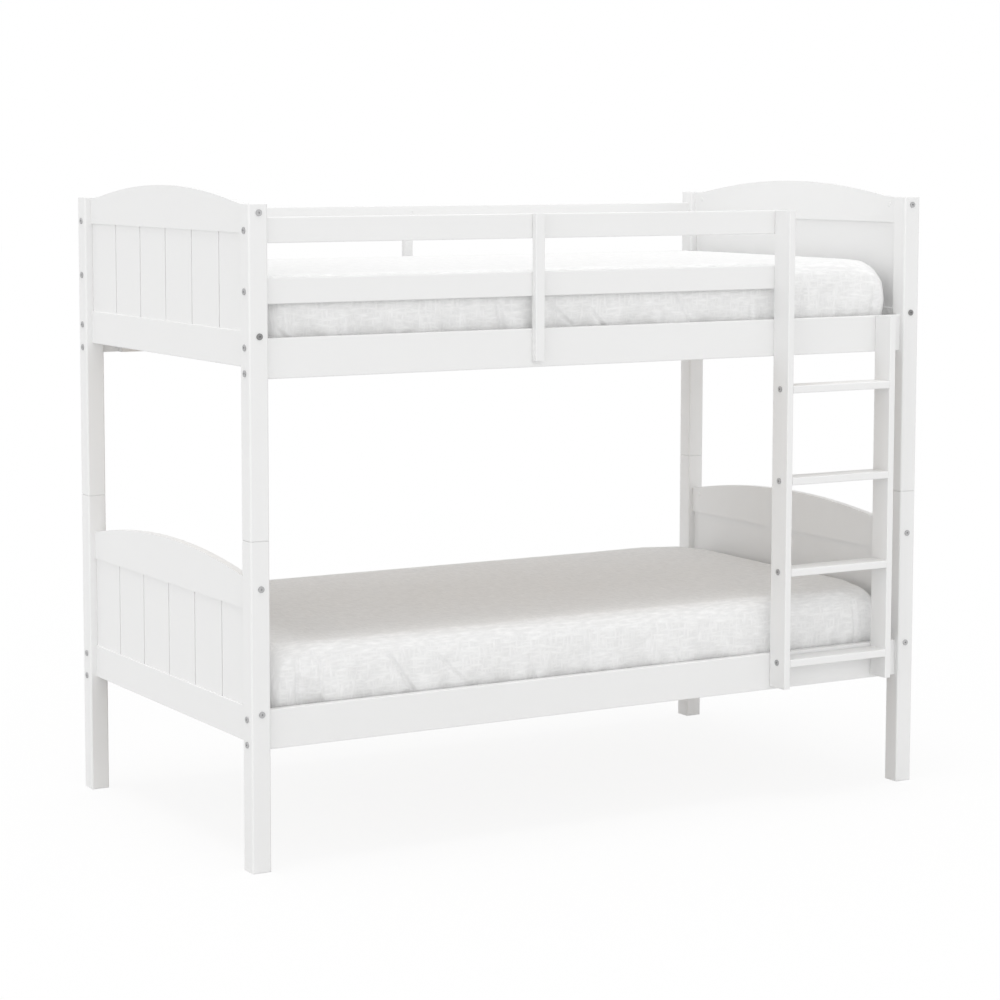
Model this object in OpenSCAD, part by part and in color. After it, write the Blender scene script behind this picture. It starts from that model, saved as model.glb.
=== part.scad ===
// Bunk bed with arched, beadboard ends, a fixed ladder and a mattress in each berth.
// X runs along the bed, -Y is the ladder side, +Z is up, and the feet stand on z = 0.

/* [Overall] */
// Length over the posts
bed_l = 2032; // [1960:1:2120]
// Width over the posts
bed_w = 1070; // [1060:1:1120]
// Height of the posts, both halves together
post_h = 1625; // [1610:1:1700]
// Height of the seam where the upper bunk lifts off
seam_z = 814; // [800:1:830]

/* [Posts] */
// Width of the square posts
post_w = 51; // [48:1:60]
// Radius of the long edges of a post
post_r = 5; // [2:0.5:8]
// Chamfer round the top of a post
top_chamfer = 3; // [1:0.5:5]
// Chamfer at the seam between the two halves
seam_chamfer = 1.5; // [1:0.5:3]
// Height of the shadow line at the seam
seam_gap = 1.6; // [1:0.2:3]
// Depth of the shadow line
seam_depth = 2.5; // [1:0.5:4]
// Chamfer round the foot
foot_chamfer = 2; // [1:0.5:4]

/* [Side rails and slats] */
// Thickness of every rail and guard board
rail_t = 20; // [18:0.5:24]
// Height of a side rail
rail_h = 98; // [90:1:110]
// How far the upper rails and guards sit in from the post faces
rail_inset = 15.5; // [12:0.5:20]
// How far the lower side rails sit in, clear of the ladder's back
lower_rail_inset = 16; // [12.5:0.5:20.5]
// Underside of the lower side rails
lower_rail_z = 300; // [280:1:320]
// Underside of the upper side rails
upper_rail_z = 1203; // [1190:1:1215]
// Width and height of the ledge that carries the slats
ledge_w = 20; // [18:1:26]
// Number of slats in one berth
slat_count = 13; // [10:1:14]
// Width of a slat
slat_w = 68; // [50:1:80]
// Thickness of a slat
slat_t = 18; // [15:1:20]

/* [Ends] */
// Distance from the outside of the posts to the end rails
end_inset = 17; // [14:0.5:19]
// Height of the bottom rail of an end
end_rail_h = 88; // [80:1:100]
// Underside of the lower end's bottom rail
lower_end_z = 314; // [300:1:330]
// Underside of the upper end's bottom rail
upper_end_z = 1230; // [1220:1:1240]
// Height of panel that shows between the lower end's rails
lower_panel_h = 239.5; // [200:0.5:250]
// Height of panel that shows between the upper end's rails
upper_panel_h = 235; // [200:0.5:240]
// Thickness of the beadboard panel
panel_t = 9; // [8:0.5:12]
// Distance that the panel sits nearer its outer face than the middle of the rails
panel_shift = 1.5; // [0:0.5:2]
// Depth that the panel goes into its rails
panel_tongue = 5; // [3:0.5:5]
// Number of planks that the grooves divide a panel into
plank_count = 6; // [4:1:8]
// Width of the groove between two planks
groove_w = 4; // [2:0.5:6]
// Depth of the groove between two planks
groove_depth = 4.5; // [2:0.5:6]
// Rise of the lower arch from its ends to its crown
lower_arch_rise = 44; // [20:1:60]
// Rise of the upper arch from its ends to its crown
upper_arch_rise = 40; // [20:1:60]
// Height of the lower arched rail at its ends
lower_arch_end_h = 72.5; // [60:0.5:90]
// Drop of the upper arch's ends below the post tops
upper_arch_drop = 3; // [2:1:8]
// Share of the upper arch that turns into a cove at each end
cove_share = 0.14; // [0.05:0.01:0.3]

/* [Guards] */
// Height of a guard board
guard_h = 62; // [50:1:70]
// Underside of the middle guard boards
guard_mid_z = 1383; // [1375:1:1390]
// Underside of the top guard boards
guard_top_z = 1529; // [1520:1:1540]
// Width of a batten
batten_w = 27; // [22:1:40]
// Thickness of a batten
batten_t = 19; // [15:0.5:22]
// Foot of the battens above the rail's underside
batten_rise = 16; // [5:1:30]

/* [Ladder] */
// Thickness of a stile
stile_t = 19; // [17:0.5:24]
// Depth of a stile, front to back
stile_d = 67; // [60:1:80]
// Left side of the left stile
ladder_x = 537; // [500:1:560]
// Clear width between the stiles
ladder_clear = 323; // [300:1:330]
// Foot of the ladder above the floor
ladder_foot = 310; // [303:1:330]
// Thickness of a rung
rung_t = 20; // [18:1:24]
// Height of the lowest rung's middle
rung_z = 379; // [375:1:385]
// Step from rung to rung
rung_pitch = 246; // [240:1:250]

/* [Fasteners] */
// Radius of a connector bolt's shank
bolt_r = 3; // [2.5:0.5:4]
// Radius of its flat head
head_r = 8; // [7:0.5:10]
// Thickness of its flat head
head_t = 2.5; // [1.5:0.5:3]
// Distance from a rail's end to its barrel nut
nut_set = 35; // [30:1:45]
// Radius of a barrel nut
nut_r = 5; // [4.5:0.5:6]
// Length of a barrel nut
nut_l = 14; // [12:1:14]
// Radius of a wooden dowel
dowel_r = 4; // [3:0.5:5]
// Length of a wooden dowel
dowel_l = 30; // [24:1:30]
// Radius of the steel pin in a post's seam
pin_r = 5; // [4:0.5:6]
// Length of that pin
pin_l = 76; // [60:1:90]
// Radius of a wood screw's shank
screw_r = 2; // [1.5:0.25:2.5]

/* [Mattresses] */
// Length of a mattress
mattress_l = 1905; // [1880:1:1920]
// Width of a mattress
mattress_w = 985; // [970:1:988]
// Thickness of a mattress
mattress_t = 203; // [150:1:205]

/* [Hidden] */
$fn = 48;
BIG_FN = 360;
e = 0.01;
LEFT = -1;
RIGHT = 1;
FRONT = -1;
BACK = 1;
SIDES = [-1, 1];
paint = "whitesmoke";
steel = "dimgray";
wood = "burlywood";
cloth = "white";

ladder_proud = stile_d - rail_inset;
batten_proud = batten_t - rail_inset;
y_mid = (ladder_proud - batten_proud) / 2;
post_x = (bed_l - post_w) / 2;
post_y = (bed_w - post_w) / 2;
inner_l = bed_l - 2 * post_w;
inner_w = bed_w - 2 * post_w;
edge_r = 2.5;
end_axis = end_inset + rail_t / 2 - post_w / 2;
end_x = bed_l / 2 - end_inset - rail_t / 2;
board_front = y_mid - bed_w / 2 + rail_inset;

slat_len = inner_w + 2 * (post_w - rail_inset - rail_t) - 4;
ledge_l = inner_l - 2 * (nut_set + 15);
slat_pitch = (ledge_l - slat_w - 4) / (slat_count - 1);
slat_bed = ledge_w + slat_t;

lower_panel_z = lower_end_z + end_rail_h;
upper_panel_z = upper_end_z + end_rail_h;
lower_arch_z = lower_panel_z + lower_panel_h;
upper_arch_z = upper_panel_z + upper_panel_h;
upper_arch_end_h = post_h - upper_arch_drop - upper_arch_z;

bolt_l = post_w + nut_set + 5;
ladder_bolt_l = stile_t + nut_set + 5;
hole_clear = 0.25;
pin_clear = 0.08;
blend_gap = 0.05;
mattress_gap = 0.5;
corner_r = 26;
corner_curve = [[0, 93], [4, 53], [13, corner_r]];
brow_r = 40;
brow_run = 150;
hem_r = 25;
side_bolt_rise = [15, 77];
dowel_rise = 47;
end_bolt_drop = 11;
lower_arch_bolt_drop = 16.5;
upper_arch_bolt_drop = 20;
end_dowel_rise = 30;
arch_dowel_rise = 25;
guard_dowel_drop = 18;

lower_side_bolts = [for (rise = side_bolt_rise) lower_rail_z + rise];
upper_side_bolts = [for (rise = side_bolt_rise) upper_rail_z + rise];
lower_end_bolts = [
    lower_panel_z - end_bolt_drop,
    lower_arch_z + lower_arch_end_h - lower_arch_bolt_drop
];
upper_end_bolts = [
    upper_panel_z - end_bolt_drop,
    upper_arch_z + upper_arch_end_h - upper_arch_bolt_drop
];
guard_bolt_z = [for (z = [guard_mid_z, guard_top_z]) z + guard_h / 2];
guard_dowel_z = [for (z = guard_bolt_z) z - guard_dowel_drop];
lower_end_dowels = [lower_end_z + end_dowel_rise, lower_arch_z + arch_dowel_rise];
upper_end_dowels = [upper_end_z + end_dowel_rise, upper_arch_z + arch_dowel_rise];

guard_right = ladder_x + stile_t;
batten_front_x = (guard_right - inner_l / 2) / 2;
batten_z = upper_rail_z + batten_rise;
batten_h = guard_top_z + guard_h - batten_z;
stile_y = board_front - stile_d / 2;
rung_setback = 1;
rungs = [for (i = [0 : 3]) rung_z + i * rung_pitch];
rung_dowel_y = 20;
board_screw_rises = [18, 44];
rail_screw_rises = [28, 70];

// ---- Placing ----

// Mirrors its children left to right where asked.
module flip(on) {
    if (on) mirror([1, 0, 0]) children();
    else children();
}

// Puts a front-left post's own frame, centred on its axis, at any corner.
module corner(sx, sy) {
    translate([sx * post_x, y_mid + sy * post_y, 0])
        rotate(sy > 0 ? 180 : 0)
            flip(sx != sy) children();
}

// Puts a left end's own frame, centred on its rails' middle plane, at either end.
module bed_end(sx) {
    translate([sx * end_x, y_mid, 0]) flip(sx > 0) children();
}

// Puts a front board's own frame, y = 0 on its outer face, at the front or the back.
module bed_side(sy, inset) {
    translate([0, y_mid + sy * (bed_w / 2 - inset), 0])
        rotate(sy > 0 ? 180 : 0) children();
}

// How far a rail's middle lies inside the post's axis.
function side_axis(inset) = inset + rail_t / 2 - post_w / 2;

// ---- Stock ----

// A rectangle with eased corners, centred.
module eased(w, h, r) {
    square([w - 2 * r, h], center = true);
    square([w, h - 2 * r], center = true);
    for (x = SIDES, y = SIDES)
        translate([x * (w / 2 - r), y * (h / 2 - r)]) circle(r);
}

// A board along X, centred, with its long edges eased: t is its depth in Y.
module board_x(l, t, h) {
    rotate([90, 0, 90]) linear_extrude(l, center = true) eased(t, h, edge_r);
}

// A board along Y, centred.
module board_y(l, t, h) {
    rotate([90, 0, 0]) linear_extrude(l, center = true) eased(t, h, edge_r);
}

// A hole or shank along +X that starts at x = 0.
module along_x() {
    rotate([0, 90, 0]) children();
}

// The same along +Y.
module along_y() {
    rotate([-90, 0, 0]) children();
}

// ---- Fasteners: each points along +Z, from the face that it enters ----

module connector_bolt(l) {
    difference() {
        union() {
            translate([0, 0, -head_t]) cylinder(h = head_t, r = head_r);
            cylinder(h = l, r = bolt_r);
        }
        translate([0, 0, -head_t - e]) cylinder(h = head_t + 1, r = 2.3, $fn = 6);
    }
}

module bolt_hole(l) {
    translate([0, 0, -e]) cylinder(h = l, r = bolt_r + hole_clear);
}

// A barrel nut across the bolt, with the bolt's hole along X and a slot in its end.
module barrel_nut() {
    difference() {
        cylinder(h = nut_l, r = nut_r, center = true);
        along_x() cylinder(h = 4 * nut_r, r = bolt_r + 0.05, center = true);
        translate([0, 0, nut_l / 2]) cube([1.4, 4 * nut_r, 3], center = true);
    }
}

// The blind hole that a barrel nut drops into from a board's face at z = t / 2.
module nut_hole(t) {
    translate([0, 0, -nut_l / 2]) cylinder(h = nut_l / 2 + t / 2 + 1, r = nut_r + 0.1);
}

module dowel() {
    cylinder(h = dowel_l, r = dowel_r, center = true);
}

module dowel_hole() {
    cylinder(h = dowel_l + 1, r = dowel_r + 0.1, center = true);
}

// A countersunk wood screw, flush with the face at z = 0.
module wood_screw(l) {
    difference() {
        union() {
            cylinder(h = 3, r1 = screw_r + 2, r2 = screw_r);
            cylinder(h = l, r = screw_r);
        }
        for (a = [0, 90])
            rotate(a) cube([3.4, 0.9, 2.4], center = true);
    }
}

module screw_hole(l) {
    translate([0, 0, -e]) cylinder(h = 3.1, r1 = screw_r + 2.1, r2 = screw_r + 0.1);
    translate([0, 0, -e]) cylinder(h = l + 1, r = screw_r + 0.1);
}

// ---- Drillings that a joint's two boards share, in the post's own frame ----

// What one side board's end needs at the heights given.
module side_drilling(bolts, dowels, inset) {
    for (z = bolts)
        translate([-post_w / 2, side_axis(inset), z]) {
            along_x() bolt_hole(bolt_l + 3);
            translate([post_w + nut_set, 0, 0]) along_y() nut_hole(rail_t);
        }
    for (z = dowels)
        translate([post_w / 2, side_axis(inset), z]) along_x() dowel_hole();
}

// What one end rail's end needs.
module end_drilling(bolts, dowels) {
    for (z = bolts)
        translate([end_axis, -post_w / 2, z]) {
            along_y() bolt_hole(bolt_l + 3);
            translate([0, post_w + nut_set, 0]) along_x() nut_hole(rail_t);
        }
    for (z = dowels)
        translate([end_axis, post_w / 2, z]) along_y() dowel_hole();
}

// Takes the chamfer off a square end at z = 0.
module chamfer_cut(c) {
    for (a = [0 : 90 : 270])
        rotate(a)
            translate([post_w / 2, 0, 0])
                rotate([0, 45, 0])
                    cube([c * sqrt(2), post_w + 2, c * sqrt(2)], center = true);
}

// Takes a step off round a square end at z = 0, for half of the seam's shadow line.
module seam_cut() {
    neck = post_w - 2 * seam_depth;
    difference() {
        cube([post_w + 2, post_w + 2, seam_gap], center = true);
        cube([neck, neck, seam_gap + 1], center = true);
    }
}

// ---- Posts ----

module post_half(z0, z1, c0, c1) {
    difference() {
        translate([0, 0, z0]) linear_extrude(z1 - z0) eased(post_w, post_w, post_r);
        translate([0, 0, z0]) chamfer_cut(c0);
        translate([0, 0, z1]) chamfer_cut(c1);
        translate([0, 0, seam_z]) seam_cut();
    }
}

module lower_post(sx, sy) {
    color(paint) corner(sx, sy) difference() {
        post_half(0, seam_z, foot_chamfer, seam_chamfer);
        side_drilling(lower_side_bolts, [lower_rail_z + dowel_rise], lower_rail_inset);
        end_drilling(lower_end_bolts, lower_end_dowels);
        translate([0, 0, seam_z - pin_l / 2]) cylinder(h = pin_l, r = pin_r);
    }
}

module upper_post(sx, sy) {
    guarded = sx < 0 || sy > 0;
    color(paint) corner(sx, sy) difference() {
        post_half(seam_z, post_h, seam_chamfer, top_chamfer);
        side_drilling(upper_side_bolts, [upper_rail_z + dowel_rise], rail_inset);
        if (guarded) side_drilling(guard_bolt_z, guard_dowel_z, rail_inset);
        end_drilling(upper_end_bolts, upper_end_dowels);
        translate([0, 0, seam_z - pin_l / 2])
            cylinder(h = pin_l + 1, r = pin_r + pin_clear);
    }
}

// ---- Ends ----

// The slot that holds the panel's edge, opening at z = 0 and cut upwards.
module panel_slot() {
    translate([-panel_shift, 0, panel_tongue / 2 - e])
        cube([panel_t + 0.2, inner_w + 2, panel_tongue + 2 * e], center = true);
}

// Side view of an arched rail: y across the bed, from its underside at 0 up to
// end_h at the posts. A share of the curve nearest each post is hollow, and blends
// into the arch to within blend_gap.
module arch_profile(end_h, rise, share) {
    half = inner_w / 2;
    r_sum = (half * half + rise * rise) / (2 * rise);
    r_cove = r_sum * share;
    r_arch = r_sum - r_cove;
    turn = half * (1 - share);
    cove_z = end_h + r_cove - blend_gap;
    intersection() {
        translate([0, end_h + rise - r_arch]) circle(r_arch, $fn = BIG_FN);
        translate([-half, 0]) square([2 * half, end_h + 2 * rise]);
    }
    if (share > 0)
        for (s = SIDES)
            difference() {
                translate([s * (half + turn) / 2, (end_h + rise) / 2])
                    square([half - turn, end_h + rise], center = true);
                translate([s * half, cove_z]) circle(r_cove, $fn = BIG_FN);
            }
}

module end_corners(sx) {
    for (sy = SIDES) corner(sx, sy) children();
}

module arch_rail(sx, z, end_h, rise, share, bolts, dowels) {
    color(paint) difference() {
        bed_end(sx) difference() {
            translate([0, 0, z])
                rotate([90, 0, 90])
                    linear_extrude(rail_t, center = true)
                        arch_profile(end_h, rise, share);
            translate([0, 0, z]) panel_slot();
        }
        end_corners(sx) end_drilling(bolts, dowels);
    }
}

module end_rail(sx, z, bolts, dowels) {
    color(paint) difference() {
        bed_end(sx) difference() {
            translate([0, 0, z + end_rail_h / 2]) board_y(inner_w, rail_t, end_rail_h);
            translate([0, 0, z + end_rail_h]) mirror([0, 0, 1]) panel_slot();
        }
        end_corners(sx) end_drilling(bolts, dowels);
    }
}

// A panel with grooves in its outer face only.
module panel(sx, z, visible_h) {
    color(paint) bed_end(sx)
        translate([-panel_shift, 0, z - panel_tongue + 0.5])
            linear_extrude(visible_h + 2 * panel_tongue - 1)
                difference() {
                    square([panel_t, inner_w - 1], center = true);
                    for (i = [1 : plank_count - 1])
                        translate([-panel_t / 2, (i / plank_count - 0.5) * inner_w])
                            square([2 * groove_depth, groove_w], center = true);
                }
}

// ---- Berths ----

function slat_x(i) = (i - (slat_count - 1) / 2) * slat_pitch;
function ledge_screw_x(i) = slat_x(2 * i) + slat_pitch / 2;
ledge_screws = floor((slat_count - 1) / 2);

// Screws of one berth: through each slat's ends, and through the ledges.
module slat_screw_places(z, inset, sy) {
    bed_side(sy, inset)
        for (i = [0 : slat_count - 1])
            translate([slat_x(i), rail_t + ledge_w / 2, z + slat_bed]) mirror([0, 0, 1])
                children();
}

module ledge_screw_places(z, inset, sy) {
    bed_side(sy, inset)
        for (i = [0 : ledge_screws - 1])
            translate([ledge_screw_x(i), rail_t + ledge_w, z + ledge_w / 2])
                rotate([90, 0, 0]) children();
}

module side_rail(sy, z, inset, bolts) {
    color(paint) difference() {
        bed_side(sy, inset) translate([0, rail_t / 2, z + rail_h / 2])
            board_x(inner_l, rail_t, rail_h);
        for (sx = SIDES) corner(sx, sy) side_drilling(bolts, [z + dowel_rise], inset);
        ledge_screw_places(z, inset, sy) screw_hole(32);
        if (z == upper_rail_z) {
            batten_screw_places(sy) screw_hole(batten_screw_l);
            if (sy == FRONT) stile_screw_places() screw_hole(stile_screw_l);
        }
    }
}

module slat_ledge(sy, z, inset) {
    color(paint) difference() {
        bed_side(sy, inset) translate([0, rail_t + ledge_w / 2, z + ledge_w / 2])
            cube([ledge_l, ledge_w, ledge_w], center = true);
        ledge_screw_places(z, inset, sy) screw_hole(32);
        slat_screw_places(z, inset, sy) screw_hole(35);
    }
}

module slats(z, inset) {
    len = slat_len - 2 * (inset - rail_inset);
    color(wood) difference() {
        for (i = [0 : slat_count - 1])
            translate([slat_x(i), y_mid, z + ledge_w + slat_t / 2])
                cube([slat_w, len, slat_t], center = true);
        for (sy = SIDES) slat_screw_places(z, inset, sy) screw_hole(35);
    }
}

module slat_screws(z, inset) {
    color(steel) for (sy = SIDES) {
        slat_screw_places(z, inset, sy) wood_screw(35);
        ledge_screw_places(z, inset, sy) wood_screw(32);
    }
}

// A ball near a mattress's corner: dx and dy are how far its outside lies in from the
// mattress's end and side, and z is the height of its middle.
module mattress_ball(sx, sy, r, dx, dy, z) {
    translate([sx * (mattress_l / 2 - r - dx), sy * (mattress_w / 2 - r - dy), z])
        sphere(r, $fn = 32);
}

// A mattress with soft edges. Each corner draws in over its upper half, by the pairs of
// corner_curve: how far in, and how far below the top.
module mattress(z) {
    color(cloth) translate([0, y_mid, z + slat_bed + mattress_gap])
        hull()
            for (sx = SIDES, sy = SIDES) {
                mattress_ball(sx, sy, hem_r, 0, 0, hem_r);
                for (step = corner_curve)
                    mattress_ball(sx, sy, corner_r, step[0], step[0], mattress_t - step[1]);
                mattress_ball(sx, sy, brow_r, brow_run, 0, mattress_t - brow_r);
                mattress_ball(sx, sy, brow_r, 0, brow_run, mattress_t - brow_r);
            }
}

// ---- Bolts, nuts and dowels by level ----

module side_bolts(zs, inset, sx, sy) {
    corner(sx, sy) for (z = zs)
        translate([-post_w / 2, side_axis(inset), z]) along_x() connector_bolt(bolt_l);
}

module side_nuts(zs, inset, sx, sy) {
    corner(sx, sy) for (z = zs)
        translate([post_w / 2 + nut_set, side_axis(inset), z]) along_y() barrel_nut();
}

module side_dowels(zs, inset, sx, sy) {
    corner(sx, sy) for (z = zs)
        translate([post_w / 2, side_axis(inset), z]) along_x() dowel();
}

module end_bolts(zs) {
    for (sx = SIDES, sy = SIDES) corner(sx, sy) for (z = zs)
        translate([end_axis, -post_w / 2, z]) along_y() connector_bolt(bolt_l);
}

module end_nuts(zs) {
    for (sx = SIDES, sy = SIDES) corner(sx, sy) for (z = zs)
        translate([end_axis, post_w / 2 + nut_set, z])
            rotate([0, 90, 0]) rotate(90) barrel_nut();
}

module end_dowels(zs) {
    for (sx = SIDES, sy = SIDES) corner(sx, sy) for (z = zs)
        translate([end_axis, post_w / 2, z]) along_y() dowel();
}

// The three corners where guard boards meet a post.
GUARDED = [[LEFT, FRONT], [LEFT, BACK], [RIGHT, BACK]];

module all_corners_side(kind, zs, inset) {
    for (sx = SIDES, sy = SIDES)
        if (kind == "bolt") side_bolts(zs, inset, sx, sy);
        else if (kind == "nut") side_nuts(zs, inset, sx, sy);
        else side_dowels(zs, inset, sx, sy);
}

// ---- Guards ----

batten_screw_l = rail_t + batten_t - 4;
stile_screw_l = 55;

function screw_rows() = concat(
    [for (rise = rail_screw_rises) upper_rail_z + rise],
    [for (rise = board_screw_rises) guard_mid_z + rise],
    [for (rise = board_screw_rises) guard_top_z + rise]
);
function batten_x(sy) = sy == FRONT ? batten_front_x : 0;

// From the boards' inner faces out into a batten.
module batten_screw_places(sy) {
    translate([0, y_mid + sy * (bed_w / 2 - rail_inset - rail_t), 0])
        for (z = screw_rows())
            translate([batten_x(sy), 0, z]) rotate([-sy * 90, 0, 0]) children();
}

// From the boards' inner faces out into the ladder's stiles.
module stile_screw_places() {
    for (z = screw_rows())
        translate([ladder_x + stile_t / 2, board_front + rail_t, z])
            rotate([90, 0, 0]) children();
    for (rise = rail_screw_rises)
        translate([ladder_x + 1.5 * stile_t + ladder_clear, board_front + rail_t,
                   upper_rail_z + rise])
            rotate([90, 0, 0]) children();
}

module guard_board(sy, z, x0, x1) {
    color(paint) difference() {
        translate([(x0 + x1) / 2,
                   y_mid + sy * (bed_w / 2 - rail_inset - rail_t / 2), z + guard_h / 2])
            board_x(x1 - x0, rail_t, guard_h);
        for (c = GUARDED) if (c[1] == sy)
            corner(c[0], c[1]) side_drilling(guard_bolt_z, guard_dowel_z, rail_inset);
        batten_screw_places(sy) screw_hole(batten_screw_l);
        if (sy == FRONT) stile_screw_places() screw_hole(stile_screw_l);
    }
}

module batten(sy) {
    color(paint) difference() {
        translate([batten_x(sy), y_mid + sy * (bed_w / 2 - rail_inset + batten_t / 2),
                   batten_z])
            linear_extrude(batten_h) eased(batten_w, batten_t, edge_r);
        batten_screw_places(sy) screw_hole(batten_screw_l);
    }
}

// ---- Ladder ----

// Puts a stile's own frame, x = 0 on its outer face and inwards positive, at either side.
module ladder_side(side) {
    translate([ladder_x + (side == LEFT ? 0 : 2 * stile_t + ladder_clear), stile_y, 0])
        flip(side == RIGHT) children();
}

module rung_drilling() {
    for (side = SIDES, z = rungs)
        ladder_side(side) {
            translate([0, 0, z]) along_x() bolt_hole(ladder_bolt_l + 3);
            translate([stile_t + nut_set, 0, z]) rotate([180, 0, 0]) nut_hole(rung_t);
            for (y = SIDES)
                translate([stile_t + dowel_l / 6, y * rung_dowel_y, z])
                    along_x() dowel_hole();
        }
}

module stile(side, top) {
    color(paint) difference() {
        ladder_side(side) translate([stile_t / 2, 0, ladder_foot])
            linear_extrude(top - ladder_foot) eased(stile_t, stile_d, edge_r);
        rung_drilling();
        stile_screw_places() screw_hole(stile_screw_l);
    }
}

module rung(i) {
    color(paint) difference() {
        translate([ladder_x + stile_t + ladder_clear / 2,
                   stile_y - rung_setback / 2, rungs[i]])
            board_x(ladder_clear, stile_d - rung_setback, rung_t);
        rung_drilling();
    }
}

// ---- Lower bunk ----

module post_lower_front_left() lower_post(LEFT, FRONT);
module post_lower_front_right() lower_post(RIGHT, FRONT);
module post_lower_back_left() lower_post(LEFT, BACK);
module post_lower_back_right() lower_post(RIGHT, BACK);
module lower_arch_rail(sx)
    arch_rail(sx, lower_arch_z, lower_arch_end_h, lower_arch_rise, 0, lower_end_bolts,
              lower_end_dowels);
module arch_rail_lower_left() lower_arch_rail(LEFT);
module arch_rail_lower_right() lower_arch_rail(RIGHT);
module panel_lower_left() panel(LEFT, lower_panel_z, lower_panel_h);
module panel_lower_right() panel(RIGHT, lower_panel_z, lower_panel_h);
module end_rail_lower_left() end_rail(LEFT, lower_end_z, lower_end_bolts, lower_end_dowels);
module end_rail_lower_right() end_rail(RIGHT, lower_end_z, lower_end_bolts, lower_end_dowels);
module side_rail_lower_front()
    side_rail(FRONT, lower_rail_z, lower_rail_inset, lower_side_bolts);
module side_rail_lower_back()
    side_rail(BACK, lower_rail_z, lower_rail_inset, lower_side_bolts);
module slat_ledge_lower_front() slat_ledge(FRONT, lower_rail_z, lower_rail_inset);
module slat_ledge_lower_back() slat_ledge(BACK, lower_rail_z, lower_rail_inset);
module slats_lower() slats(lower_rail_z, lower_rail_inset);
module seam_pins()
    color(steel) for (sx = SIDES, sy = SIDES) corner(sx, sy)
        translate([0, 0, seam_z - pin_l / 2]) {
            cylinder(h = pin_l - 2, r = pin_r);
            translate([0, 0, pin_l - 2]) cylinder(h = 2, r1 = pin_r, r2 = pin_r - 1.5);
        }
module end_bolts_lower() color(steel) end_bolts(lower_end_bolts);
module side_bolts_lower()
    color(steel) all_corners_side("bolt", lower_side_bolts, lower_rail_inset);
module barrel_nuts_lower()
    color(steel) {
        all_corners_side("nut", lower_side_bolts, lower_rail_inset);
        end_nuts(lower_end_bolts);
    }
module dowels_lower()
    color(wood) {
        all_corners_side("dowel", [lower_rail_z + dowel_rise], lower_rail_inset);
        end_dowels(lower_end_dowels);
    }
module slat_screws_lower() slat_screws(lower_rail_z, lower_rail_inset);
module mattress_lower() mattress(lower_rail_z);

// ---- Upper bunk ----

module post_upper_front_left() upper_post(LEFT, FRONT);
module post_upper_front_right() upper_post(RIGHT, FRONT);
module post_upper_back_left() upper_post(LEFT, BACK);
module post_upper_back_right() upper_post(RIGHT, BACK);
module upper_arch_rail(sx)
    arch_rail(sx, upper_arch_z, upper_arch_end_h, upper_arch_rise, cove_share,
              upper_end_bolts, upper_end_dowels);
module arch_rail_upper_left() upper_arch_rail(LEFT);
module arch_rail_upper_right() upper_arch_rail(RIGHT);
module panel_upper_left() panel(LEFT, upper_panel_z, upper_panel_h);
module panel_upper_right() panel(RIGHT, upper_panel_z, upper_panel_h);
module end_rail_upper_left() end_rail(LEFT, upper_end_z, upper_end_bolts, upper_end_dowels);
module end_rail_upper_right() end_rail(RIGHT, upper_end_z, upper_end_bolts, upper_end_dowels);
module side_rail_upper_front()
    side_rail(FRONT, upper_rail_z, rail_inset, upper_side_bolts);
module side_rail_upper_back()
    side_rail(BACK, upper_rail_z, rail_inset, upper_side_bolts);
module slat_ledge_upper_front() slat_ledge(FRONT, upper_rail_z, rail_inset);
module slat_ledge_upper_back() slat_ledge(BACK, upper_rail_z, rail_inset);
module slats_upper() slats(upper_rail_z, rail_inset);
module end_bolts_upper() color(steel) end_bolts(upper_end_bolts);
module side_bolts_upper()
    color(steel) all_corners_side("bolt", upper_side_bolts, rail_inset);
module barrel_nuts_upper()
    color(steel) {
        all_corners_side("nut", upper_side_bolts, rail_inset);
        end_nuts(upper_end_bolts);
        for (c = GUARDED) side_nuts(guard_bolt_z, rail_inset, c[0], c[1]);
        for (side = SIDES, z = rungs)
            ladder_side(side) translate([stile_t + nut_set, 0, z])
                rotate([180, 0, 0]) barrel_nut();
    }
module dowels_upper()
    color(wood) {
        all_corners_side("dowel", [upper_rail_z + dowel_rise], rail_inset);
        end_dowels(upper_end_dowels);
        for (c = GUARDED) side_dowels(guard_dowel_z, rail_inset, c[0], c[1]);
        for (side = SIDES, z = rungs, y = SIDES)
            ladder_side(side)
                translate([stile_t + dowel_l / 6, y * rung_dowel_y, z])
                    along_x() dowel();
    }
module slat_screws_upper() slat_screws(upper_rail_z, rail_inset);
module mattress_upper() mattress(upper_rail_z);

// ---- Guard boards and ladder ----

module guard_front_top() guard_board(FRONT, guard_top_z, -inner_l / 2, guard_right);
module guard_front_middle() guard_board(FRONT, guard_mid_z, -inner_l / 2, guard_right);
module guard_back_top() guard_board(BACK, guard_top_z, -inner_l / 2, inner_l / 2);
module guard_back_middle() guard_board(BACK, guard_mid_z, -inner_l / 2, inner_l / 2);
module batten_front() batten(FRONT);
module batten_back() batten(BACK);
module batten_screws()
    color(steel) for (sy = SIDES) batten_screw_places(sy) wood_screw(batten_screw_l);
module guard_bolts()
    color(steel) for (c = GUARDED) side_bolts(guard_bolt_z, rail_inset, c[0], c[1]);
module ladder_stile_left() stile(LEFT, guard_top_z + guard_h);
module ladder_stile_right() stile(RIGHT, upper_rail_z + rail_h);
module rung_1() rung(0);
module rung_2() rung(1);
module rung_3() rung(2);
module rung_4() rung(3);
module ladder_bolts()
    color(steel) for (side = SIDES, z = rungs)
        ladder_side(side) translate([0, 0, z]) along_x() connector_bolt(ladder_bolt_l);
module ladder_screws()
    color(steel) stile_screw_places() wood_screw(stile_screw_l);

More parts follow.
